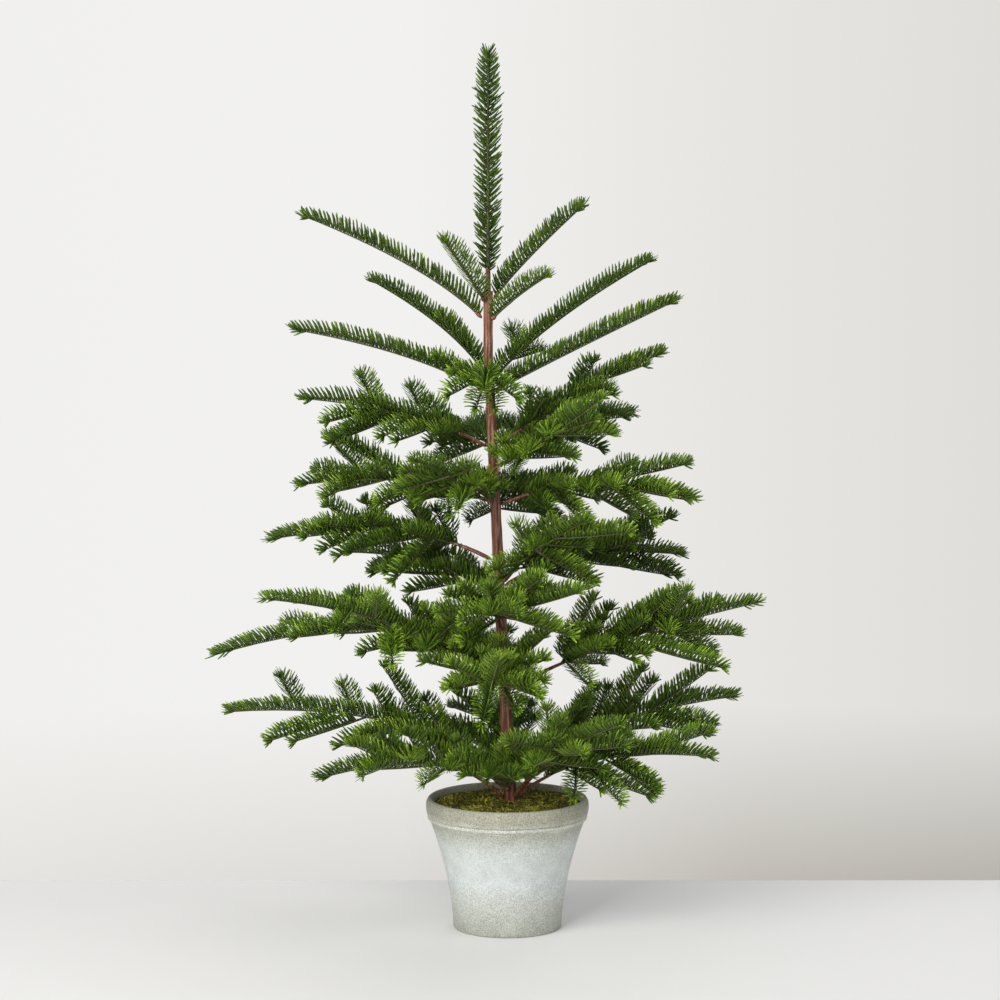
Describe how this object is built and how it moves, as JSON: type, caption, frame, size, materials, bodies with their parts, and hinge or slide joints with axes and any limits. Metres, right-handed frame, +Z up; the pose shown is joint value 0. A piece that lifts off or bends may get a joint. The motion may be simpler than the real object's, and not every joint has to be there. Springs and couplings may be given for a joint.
{
  "type": "artificial tabletop tree",
  "caption": "Artificial fir tree with bendable needle branches in tiers on a tape-wrapped trunk, standing in a round flared cement pot filled with moss.",
  "frame": {"origin": "centre of the pot's flat base, on the surface it stands on", "axes": "+Z up along the tree, -Y towards the front of the tree, +X to the right of someone facing the front"},
  "size_m": [0.59, 0.3741, 0.914],
  "materials": {
    "pot_cement": "matte cast cement, pale blue-grey wash, fine dark speckle, olive-grey rim",
    "block_cement": "rough cast cement",
    "moss": "dried moss, clumpy, olive to yellow-green",
    "wire": "bundle of drawn steel wires",
    "brown_tape": "wound floral tape, red-brown with a satin sheen",
    "needles": "soft moulded polyethylene needles, matte green, paler underneath"
  },
  "bodies": {
    "base": {"pot": "pot_cement", "cement_block": "block_cement", "moss": "moss", "trunk_core": "wire", "trunk_tape": "brown_tape", "leader": "needles"},
    "branch_7_left": {"branch_7_left": "needles"},
    "branch_7_front_left": {"branch_7_front_left": "needles"},
    "branch_7_right": {"branch_7_right": "needles"},
    "branch_7_front_right": {"branch_7_front_right": "needles"},
    "branch_6_back_left": {"branch_6_back_left": "needles"},
    "branch_6_left": {"branch_6_left": "needles"},
    "branch_6_back_right": {"branch_6_back_right": "needles"},
    "branch_6_right": {"branch_6_right": "needles"},
    "branch_6_front": {"branch_6_front": "needles"},
    "branch_5_left": {"branch_5_left_stem": "brown_tape", "branch_5_left_needles": "needles"},
    "branch_5_right": {"branch_5_right_stem": "brown_tape", "branch_5_right_needles": "needles"},
    "branch_5_front": {"branch_5_front_stem": "brown_tape", "branch_5_front_needles": "needles"},
    "branch_5_back_right": {"branch_5_back_right_stem": "brown_tape", "branch_5_back_right_needles": "needles"},
    "branch_5_back_left": {"branch_5_back_left": "needles"},
    "branch_4_left": {"branch_4_left_stem": "brown_tape", "branch_4_left_needles": "needles"},
    "branch_4_front_left": {"branch_4_front_left": "needles"},
    "branch_4_right": {"branch_4_right_stem": "brown_tape", "branch_4_right_needles": "needles"},
    "branch_4_back": {"branch_4_back": "needles"},
    "branch_3_left": {"branch_3_left_stem": "brown_tape", "branch_3_left_needles": "needles"},
    "branch_3_back_left": {"branch_3_back_left": "needles"},
    "branch_3_front": {"branch_3_front_stem": "brown_tape", "branch_3_front_needles": "needles"},
    "branch_3_back_right": {"branch_3_back_right_stem": "brown_tape", "branch_3_back_right_needles": "needles"},
    "branch_3_front_right": {"branch_3_front_right_stem": "brown_tape", "branch_3_front_right_needles": "needles"},
    "branch_2_left": {"branch_2_left_stem": "brown_tape", "branch_2_left_needles": "needles"},
    "branch_2_front_left": {"branch_2_front_left_stem": "brown_tape", "branch_2_front_left_needles": "needles"},
    "branch_2_front": {"branch_2_front_stem": "brown_tape", "branch_2_front_needles": "needles"},
    "branch_2_right": {"branch_2_right_stem": "brown_tape", "branch_2_right_needles": "needles"},
    "branch_2_back": {"branch_2_back": "needles"},
    "branch_1_left_up": {"branch_1_left_up_stem": "brown_tape", "branch_1_left_up_needles": "needles"},
    "branch_1_left_low": {"branch_1_left_low_stem": "brown_tape", "branch_1_left_low_needles": "needles"},
    "branch_1_right": {"branch_1_right_stem": "brown_tape", "branch_1_right_needles": "needles"},
    "branch_1_right_low": {"branch_1_right_low_stem": "brown_tape", "branch_1_right_low_needles": "needles"},
    "branch_1_front_right": {"branch_1_front_right_stem": "brown_tape", "branch_1_front_right_needles": "needles"},
    "branch_1_front": {"branch_1_front": "needles"},
    "branch_1_back": {"branch_1_back": "needles"}
  },
  "joints": [
    {"name": "bend_7_left", "type": "hinge", "parent": "base", "child": "branch_7_left", "pos_m": [-0.0279, 0, 0.638], "axis": [0, 1, 0], "range_deg": [-18, 10]},
    {"name": "bend_7_front_left", "type": "hinge", "parent": "base", "child": "branch_7_front_left", "pos_m": [-0.02407, -0.00677, 0.655], "axis": [-0.8572, 0.515, 0], "range_deg": [-18, 20]},
    {"name": "bend_7_right", "type": "hinge", "parent": "base", "child": "branch_7_right", "pos_m": [-0.01249, 0.00244, 0.658], "axis": [0.309, -0.9511, 0], "range_deg": [-18, 12]},
    {"name": "bend_7_front_right", "type": "hinge", "parent": "base", "child": "branch_7_front_right", "pos_m": [-0.01514, -0.00623, 0.636], "axis": [-0.788, -0.6157, 0], "range_deg": [-18, 18]},
    {"name": "bend_6_back_left", "type": "hinge", "parent": "base", "child": "branch_6_back_left", "pos_m": [-0.02598, 0.0041, 0.583], "axis": [0.515, 0.8572, 0], "range_deg": [-18, 14]},
    {"name": "bend_6_left", "type": "hinge", "parent": "base", "child": "branch_6_left", "pos_m": [-0.02614, -0.00098, 0.563], "axis": [-0.1219, 0.9925, 0], "range_deg": [-14, 10]},
    {"name": "bend_6_back_right", "type": "hinge", "parent": "base", "child": "branch_6_back_right", "pos_m": [-0.0117, 0.00362, 0.576], "axis": [0.454, -0.891, 0], "range_deg": [-18, 14]},
    {"name": "bend_6_right", "type": "hinge", "parent": "base", "child": "branch_6_right", "pos_m": [-0.01038, -0.00194, 0.563], "axis": [-0.2419, -0.9703, 0], "range_deg": [-18, 12]},
    {"name": "bend_6_front", "type": "hinge", "parent": "base", "child": "branch_6_front", "pos_m": [-0.01865, -0.00801, 0.567], "axis": [-0.9994, 0.0349, 0], "range_deg": [-18, 20]},
    {"name": "bend_5_left", "type": "hinge", "parent": "base", "child": "branch_5_left", "pos_m": [-0.02348, -0.00086, 0.505], "axis": [-0.1045, 0.9945, 0], "range_deg": [-14, 14]},
    {"name": "bend_5_right", "type": "hinge", "parent": "base", "child": "branch_5_right", "pos_m": [-0.00718, 0.00129, 0.505], "axis": [0.1564, -0.9877, 0], "range_deg": [-18, 20]},
    {"name": "bend_5_front", "type": "hinge", "parent": "base", "child": "branch_5_front", "pos_m": [-0.00898, -0.00635, 0.485], "axis": [-0.766, -0.6428, 0], "range_deg": [-14, 20]},
    {"name": "bend_5_back_right", "type": "hinge", "parent": "base", "child": "branch_5_back_right", "pos_m": [-0.00877, 0.00552, 0.497], "axis": [0.6691, -0.7431, 0], "range_deg": [-18, 15]},
    {"name": "bend_5_back_left", "type": "hinge", "parent": "base", "child": "branch_5_back_left", "pos_m": [-0.01829, 0.00763, 0.503], "axis": [0.9272, 0.3746, 0], "range_deg": [-18, 20]},
    {"name": "bend_4_left", "type": "hinge", "parent": "base", "child": "branch_4_left", "pos_m": [-0.02065, -0.00204, 0.448], "axis": [-0.2419, 0.9703, 0], "range_deg": [-18, 14]},
    {"name": "bend_4_front_left", "type": "hinge", "parent": "base", "child": "branch_4_front_left", "pos_m": [-0.01695, -0.00714, 0.448], "axis": [-0.848, 0.5299, 0], "range_deg": [-18, 20]},
    {"name": "bend_4_right", "type": "hinge", "parent": "base", "child": "branch_4_right", "pos_m": [-0.00408, -0.00175, 0.445], "axis": [-0.2079, -0.9781, 0], "range_deg": [-18, 12]},
    {"name": "bend_4_back", "type": "hinge", "parent": "base", "child": "branch_4_back", "pos_m": [-0.01047, 0.00833, 0.437], "axis": [0.9848, -0.1736, 0], "range_deg": [-18, 14]},
    {"name": "bend_3_left", "type": "hinge", "parent": "base", "child": "branch_3_left", "pos_m": [-0.01801, 0.0012, 0.387], "axis": [0.1392, 0.9903, 0], "range_deg": [-18, 20]},
    {"name": "bend_3_back_left", "type": "hinge", "parent": "base", "child": "branch_3_back_left", "pos_m": [-0.01435, 0.00563, 0.35], "axis": [0.6428, 0.766, 0], "range_deg": [-18, 20]},
    {"name": "bend_3_front", "type": "hinge", "parent": "base", "child": "branch_3_front", "pos_m": [-0.00338, -0.00713, 0.365], "axis": [-0.8191, -0.5736, 0], "range_deg": [-18, 20]},
    {"name": "bend_3_back_right", "type": "hinge", "parent": "base", "child": "branch_3_back_right", "pos_m": [-0.00057, 0.00436, 0.36], "axis": [0.5, -0.866, 0], "range_deg": [-18, 20]},
    {"name": "bend_3_front_right", "type": "hinge", "parent": "base", "child": "branch_3_front_right", "pos_m": [-0.00667, -0.00885, 0.318], "axis": [-0.9976, 0.0698, 0], "range_deg": [-18, 12]},
    {"name": "bend_2_left", "type": "hinge", "parent": "base", "child": "branch_2_left", "pos_m": [-0.01232, 0.00063, 0.262], "axis": [0.0698, 0.9976, 0], "range_deg": [-10, 20]},
    {"name": "bend_2_front_left", "type": "hinge", "parent": "base", "child": "branch_2_front_left", "pos_m": [-0.01071, -0.0052, 0.262], "axis": [-0.5736, 0.8191, 0], "range_deg": [-18, 20]},
    {"name": "bend_2_front", "type": "hinge", "parent": "base", "child": "branch_2_front", "pos_m": [-0.0042, -0.009, 0.255], "axis": [-0.9903, 0.1392, 0], "range_deg": [-18, 12]},
    {"name": "bend_2_right", "type": "hinge", "parent": "base", "child": "branch_2_right", "pos_m": [0.00624, -0.00063, 0.253], "axis": [-0.0698, -0.9976, 0], "range_deg": [-18, 20]},
    {"name": "bend_2_back", "type": "hinge", "parent": "base", "child": "branch_2_back", "pos_m": [-0.00702, 0.00822, 0.26], "axis": [0.9063, 0.4226, 0], "range_deg": [-18, 20]},
    {"name": "bend_1_left_up", "type": "hinge", "parent": "base", "child": "branch_1_left_up", "pos_m": [-0.00705, 0.00132, 0.149], "axis": [0.1392, 0.9903, 0], "range_deg": [-18, 12]},
    {"name": "bend_1_left_low", "type": "hinge", "parent": "base", "child": "branch_1_left_low", "pos_m": [-0.00537, -0.00474, 0.138], "axis": [-0.5, 0.866, 0], "range_deg": [-18, 20]},
    {"name": "bend_1_right", "type": "hinge", "parent": "base", "child": "branch_1_right", "pos_m": [0.01176, 0.00261, 0.142], "axis": [0.2756, -0.9613, 0], "range_deg": [-18, 15]},
    {"name": "bend_1_right_low", "type": "hinge", "parent": "base", "child": "branch_1_right_low", "pos_m": [0.01172, -0.00324, 0.139], "axis": [-0.342, -0.9397, 0], "range_deg": [-18, 14]},
    {"name": "bend_1_front_right", "type": "hinge", "parent": "base", "child": "branch_1_front_right", "pos_m": [0.00806, -0.00786, 0.14], "axis": [-0.829, -0.5592, 0], "range_deg": [-18, 14]},
    {"name": "bend_1_front", "type": "hinge", "parent": "base", "child": "branch_1_front", "pos_m": [0.00017, -0.00918, 0.146], "axis": [-0.9703, 0.2419, 0], "range_deg": [-18, 12]},
    {"name": "bend_1_back", "type": "hinge", "parent": "base", "child": "branch_1_back", "pos_m": [0.00085, 0.00935, 0.152], "axis": [0.9903, 0.1392, 0], "range_deg": [-18, 15]}
  ]
}
